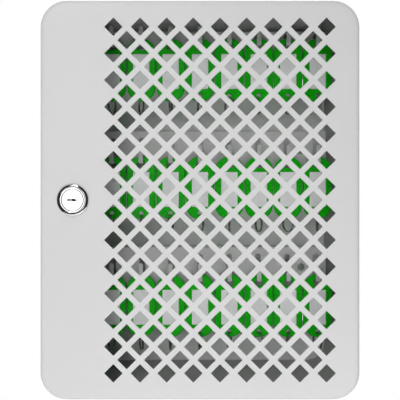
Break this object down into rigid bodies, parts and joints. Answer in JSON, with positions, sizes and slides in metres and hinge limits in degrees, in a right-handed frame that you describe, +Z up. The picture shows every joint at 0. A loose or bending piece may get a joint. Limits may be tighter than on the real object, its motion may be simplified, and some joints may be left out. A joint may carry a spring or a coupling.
{
  "type": "wall key cabinet",
  "caption": "Wall-mounted sheet-steel key cabinet with a diamond-perforated hinged door, a cam lock, hook rails and swinging key tags.",
  "frame": {"origin": "centre of the back face, which lies flat on the wall", "axes": "+Z up, +X to the right of someone facing the door, +Y into the wall"},
  "size_m": [0.24, 0.082, 0.3],
  "materials": {
    "cabinet_paint": "light grey powder coat, fine texture, satin",
    "inner_paint": "mid grey powder coat, fine texture",
    "lock_chrome": "polished chrome plate",
    "zinc_steel": "bright zinc plate",
    "tag_plastic": "semi-gloss green moulded plastic"
  },
  "bodies": {
    "cabinet": {"cabinet_shell": "cabinet_paint", "back_panel": "inner_paint", "hook_rail_top": "inner_paint", "hook_rail_middle": "inner_paint", "hook_rail_bottom": "inner_paint", "rail_post_top_left": "zinc_steel", "rail_post_top_right": "zinc_steel", "rail_post_middle_left": "zinc_steel", "rail_post_middle_right": "zinc_steel", "rail_post_bottom_left": "zinc_steel", "rail_post_bottom_right": "zinc_steel", "upper_hinge_body_leaf": "zinc_steel", "lower_hinge_body_leaf": "zinc_steel", "upper_hinge_pin": "zinc_steel", "lower_hinge_pin": "zinc_steel"},
    "door": {"door_panel": "cabinet_paint", "upper_hinge_door_leaf": "zinc_steel", "lower_hinge_door_leaf": "zinc_steel", "lock_housing": "lock_chrome", "lock_nut": "zinc_steel"},
    "lock_core": {"lock_plug": "lock_chrome", "lock_cam": "zinc_steel", "cam_washer": "zinc_steel", "cam_screw": "zinc_steel"},
    "key_tag_top_1": {"key_tag_top_1": "tag_plastic"},
    "key_tag_top_2": {"key_tag_top_2": "tag_plastic"},
    "key_tag_top_3": {"key_tag_top_3": "tag_plastic"},
    "key_tag_top_4": {"key_tag_top_4": "tag_plastic"},
    "key_tag_top_5": {"key_tag_top_5": "tag_plastic"},
    "key_tag_top_6": {"key_tag_top_6": "tag_plastic"},
    "key_tag_top_7": {"key_tag_top_7": "tag_plastic"},
    "key_tag_top_8": {"key_tag_top_8": "tag_plastic"},
    "key_tag_top_9": {"key_tag_top_9": "tag_plastic"},
    "key_tag_middle_1": {"key_tag_middle_1": "tag_plastic"},
    "key_tag_middle_2": {"key_tag_middle_2": "tag_plastic"},
    "key_tag_middle_3": {"key_tag_middle_3": "tag_plastic"},
    "key_tag_middle_4": {"key_tag_middle_4": "tag_plastic"},
    "key_tag_middle_5": {"key_tag_middle_5": "tag_plastic"},
    "key_tag_middle_6": {"key_tag_middle_6": "tag_plastic"},
    "key_tag_middle_7": {"key_tag_middle_7": "tag_plastic"},
    "key_tag_middle_8": {"key_tag_middle_8": "tag_plastic"},
    "key_tag_middle_9": {"key_tag_middle_9": "tag_plastic"},
    "key_tag_bottom_1": {"key_tag_bottom_1": "tag_plastic"},
    "key_tag_bottom_2": {"key_tag_bottom_2": "tag_plastic"},
    "key_tag_bottom_3": {"key_tag_bottom_3": "tag_plastic"},
    "key_tag_bottom_4": {"key_tag_bottom_4": "tag_plastic"},
    "key_tag_bottom_5": {"key_tag_bottom_5": "tag_plastic"},
    "key_tag_bottom_6": {"key_tag_bottom_6": "tag_plastic"},
    "key_tag_bottom_7": {"key_tag_bottom_7": "tag_plastic"},
    "key_tag_bottom_8": {"key_tag_bottom_8": "tag_plastic"},
    "key_tag_bottom_9": {"key_tag_bottom_9": "tag_plastic"}
  },
  "joints": [
    {"name": "door_hinge", "type": "hinge", "parent": "cabinet", "child": "door", "pos_m": [0.1173, -0.0673, 0], "axis": [0, 0, 1], "range_deg": [0, 150]},
    {"name": "lock_turn", "type": "hinge", "parent": "door", "child": "lock_core", "pos_m": [-0.0953, -0.08, 0], "axis": [0, 1, 0], "range_deg": [0, 90]},
    {"name": "key_tag_top_1_swing", "type": "hinge", "parent": "cabinet", "child": "key_tag_top_1", "pos_m": [-0.0976, -0.0415, 0.1292], "axis": [1, 0, 0], "range_deg": [-20, 10]},
    {"name": "key_tag_top_2_swing", "type": "hinge", "parent": "cabinet", "child": "key_tag_top_2", "pos_m": [-0.0732, -0.0415, 0.1292], "axis": [1, 0, 0], "range_deg": [-20, 10]},
    {"name": "key_tag_top_3_swing", "type": "hinge", "parent": "cabinet", "child": "key_tag_top_3", "pos_m": [-0.0488, -0.0415, 0.1292], "axis": [1, 0, 0], "range_deg": [-20, 10]},
    {"name": "key_tag_top_4_swing", "type": "hinge", "parent": "cabinet", "child": "key_tag_top_4", "pos_m": [-0.0244, -0.0415, 0.1292], "axis": [1, 0, 0], "range_deg": [-20, 10]},
    {"name": "key_tag_top_5_swing", "type": "hinge", "parent": "cabinet", "child": "key_tag_top_5", "pos_m": [0, -0.0415, 0.1292], "axis": [1, 0, 0], "range_deg": [-20, 10]},
    {"name": "key_tag_top_6_swing", "type": "hinge", "parent": "cabinet", "child": "key_tag_top_6", "pos_m": [0.0244, -0.0415, 0.1292], "axis": [1, 0, 0], "range_deg": [-20, 10]},
    {"name": "key_tag_top_7_swing", "type": "hinge", "parent": "cabinet", "child": "key_tag_top_7", "pos_m": [0.0488, -0.0415, 0.1292], "axis": [1, 0, 0], "range_deg": [-20, 10]},
    {"name": "key_tag_top_8_swing", "type": "hinge", "parent": "cabinet", "child": "key_tag_top_8", "pos_m": [0.0732, -0.0415, 0.1292], "axis": [1, 0, 0], "range_deg": [-20, 10]},
    {"name": "key_tag_top_9_swing", "type": "hinge", "parent": "cabinet", "child": "key_tag_top_9", "pos_m": [0.0976, -0.0415, 0.1292], "axis": [1, 0, 0], "range_deg": [-20, 10]},
    {"name": "key_tag_middle_1_swing", "type": "hinge", "parent": "cabinet", "child": "key_tag_middle_1", "pos_m": [-0.0976, -0.0415, 0.0314], "axis": [1, 0, 0], "range_deg": [-20, 10]},
    {"name": "key_tag_middle_2_swing", "type": "hinge", "parent": "cabinet", "child": "key_tag_middle_2", "pos_m": [-0.0732, -0.0415, 0.0314], "axis": [1, 0, 0], "range_deg": [-20, 10]},
    {"name": "key_tag_middle_3_swing", "type": "hinge", "parent": "cabinet", "child": "key_tag_middle_3", "pos_m": [-0.0488, -0.0415, 0.0314], "axis": [1, 0, 0], "range_deg": [-20, 10]},
    {"name": "key_tag_middle_4_swing", "type": "hinge", "parent": "cabinet", "child": "key_tag_middle_4", "pos_m": [-0.0244, -0.0415, 0.0314], "axis": [1, 0, 0], "range_deg": [-20, 10]},
    {"name": "key_tag_middle_5_swing", "type": "hinge", "parent": "cabinet", "child": "key_tag_middle_5", "pos_m": [0, -0.0415, 0.0314], "axis": [1, 0, 0], "range_deg": [-20, 10]},
    {"name": "key_tag_middle_6_swing", "type": "hinge", "parent": "cabinet", "child": "key_tag_middle_6", "pos_m": [0.0244, -0.0415, 0.0314], "axis": [1, 0, 0], "range_deg": [-20, 10]},
    {"name": "key_tag_middle_7_swing", "type": "hinge", "parent": "cabinet", "child": "key_tag_middle_7", "pos_m": [0.0488, -0.0415, 0.0314], "axis": [1, 0, 0], "range_deg": [-20, 10]},
    {"name": "key_tag_middle_8_swing", "type": "hinge", "parent": "cabinet", "child": "key_tag_middle_8", "pos_m": [0.0732, -0.0415, 0.0314], "axis": [1, 0, 0], "range_deg": [-20, 10]},
    {"name": "key_tag_middle_9_swing", "type": "hinge", "parent": "cabinet", "child": "key_tag_middle_9", "pos_m": [0.0976, -0.0415, 0.0314], "axis": [1, 0, 0], "range_deg": [-20, 10]},
    {"name": "key_tag_bottom_1_swing", "type": "hinge", "parent": "cabinet", "child": "key_tag_bottom_1", "pos_m": [-0.0976, -0.0415, -0.0664], "axis": [1, 0, 0], "range_deg": [-20, 10]},
    {"name": "key_tag_bottom_2_swing", "type": "hinge", "parent": "cabinet", "child": "key_tag_bottom_2", "pos_m": [-0.0732, -0.0415, -0.0664], "axis": [1, 0, 0], "range_deg": [-20, 10]},
    {"name": "key_tag_bottom_3_swing", "type": "hinge", "parent": "cabinet", "child": "key_tag_bottom_3", "pos_m": [-0.0488, -0.0415, -0.0664], "axis": [1, 0, 0], "range_deg": [-20, 10]},
    {"name": "key_tag_bottom_4_swing", "type": "hinge", "parent": "cabinet", "child": "key_tag_bottom_4", "pos_m": [-0.0244, -0.0415, -0.0664], "axis": [1, 0, 0], "range_deg": [-20, 10]},
    {"name": "key_tag_bottom_5_swing", "type": "hinge", "parent": "cabinet", "child": "key_tag_bottom_5", "pos_m": [0, -0.0415, -0.0664], "axis": [1, 0, 0], "range_deg": [-20, 10]},
    {"name": "key_tag_bottom_6_swing", "type": "hinge", "parent": "cabinet", "child": "key_tag_bottom_6", "pos_m": [0.0244, -0.0415, -0.0664], "axis": [1, 0, 0], "range_deg": [-20, 10]},
    {"name": "key_tag_bottom_7_swing", "type": "hinge", "parent": "cabinet", "child": "key_tag_bottom_7", "pos_m": [0.0488, -0.0415, -0.0664], "axis": [1, 0, 0], "range_deg": [-20, 10]},
    {"name": "key_tag_bottom_8_swing", "type": "hinge", "parent": "cabinet", "child": "key_tag_bottom_8", "pos_m": [0.0732, -0.0415, -0.0664], "axis": [1, 0, 0], "range_deg": [-20, 10]},
    {"name": "key_tag_bottom_9_swing", "type": "hinge", "parent": "cabinet", "child": "key_tag_bottom_9", "pos_m": [0.0976, -0.0415, -0.0664], "axis": [1, 0, 0], "range_deg": [-20, 10]}
  ]
}
